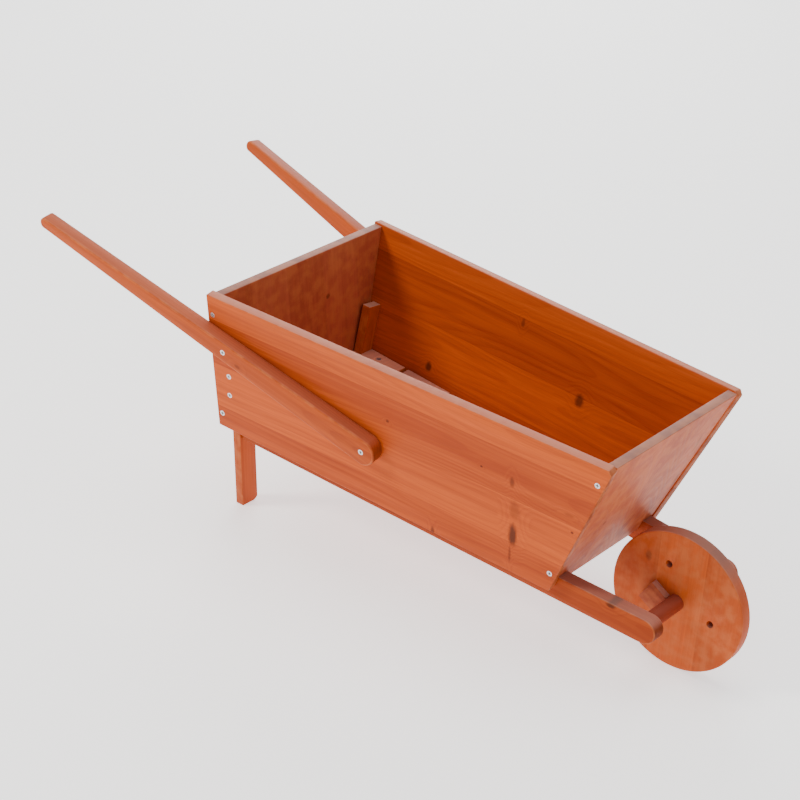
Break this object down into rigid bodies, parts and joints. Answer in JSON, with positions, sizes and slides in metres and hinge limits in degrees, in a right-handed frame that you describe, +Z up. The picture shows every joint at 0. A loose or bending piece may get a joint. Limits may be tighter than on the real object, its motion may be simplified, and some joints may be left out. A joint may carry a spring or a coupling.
{
  "type": "wheelbarrow",
  "caption": "Stained pine garden wheelbarrow planter: a tapered open tray on rails and legs, with tapered handles and a solid wooden wheel that turns.",
  "frame": {"origin": "on the ground, below the middle of the whole length and width, from handle ends to wheel rim", "axes": "+X forwards to the wheel, +Y to the left of someone pushing it, +Z up"},
  "size_m": [1.086, 0.4456, 0.3877],
  "materials": {
    "orange_pine": "satin stained pine",
    "red_pine": "satin stained pine, redder",
    "dowel": "satin stained hardwood dowel",
    "zinc_screw": "bright zinc"
  },
  "bodies": {
    "barrow": {"side_panel_left": "orange_pine", "side_panel_right": "orange_pine", "floor_slat_1": "orange_pine", "floor_slat_2": "orange_pine", "floor_slat_3": "orange_pine", "floor_slat_4": "orange_pine", "floor_slat_5": "orange_pine", "floor_slat_6": "orange_pine", "rail_left": "orange_pine", "rail_right": "orange_pine", "leg_left": "orange_pine", "leg_right": "orange_pine", "handle_left": "orange_pine", "handle_right": "orange_pine", "front_board": "red_pine", "rear_board": "red_pine", "front_board_screws": "zinc_screw", "rear_board_screws": "zinc_screw", "handle_screws": "zinc_screw", "floor_screws": "zinc_screw", "rail_screws": "zinc_screw", "leg_panel_screws": "zinc_screw", "leg_rail_screws": "zinc_screw"},
    "wheel": {"wheel_disc": "red_pine", "glue_block_left": "orange_pine", "glue_block_right": "orange_pine", "axle": "dowel"}
  },
  "joints": [
    {"name": "wheel_spin", "type": "hinge", "parent": "barrow", "child": "wheel", "pos_m": [0.44301, 0, 0.1], "axis": [0, 1, 0], "continuous": true}
  ]
}
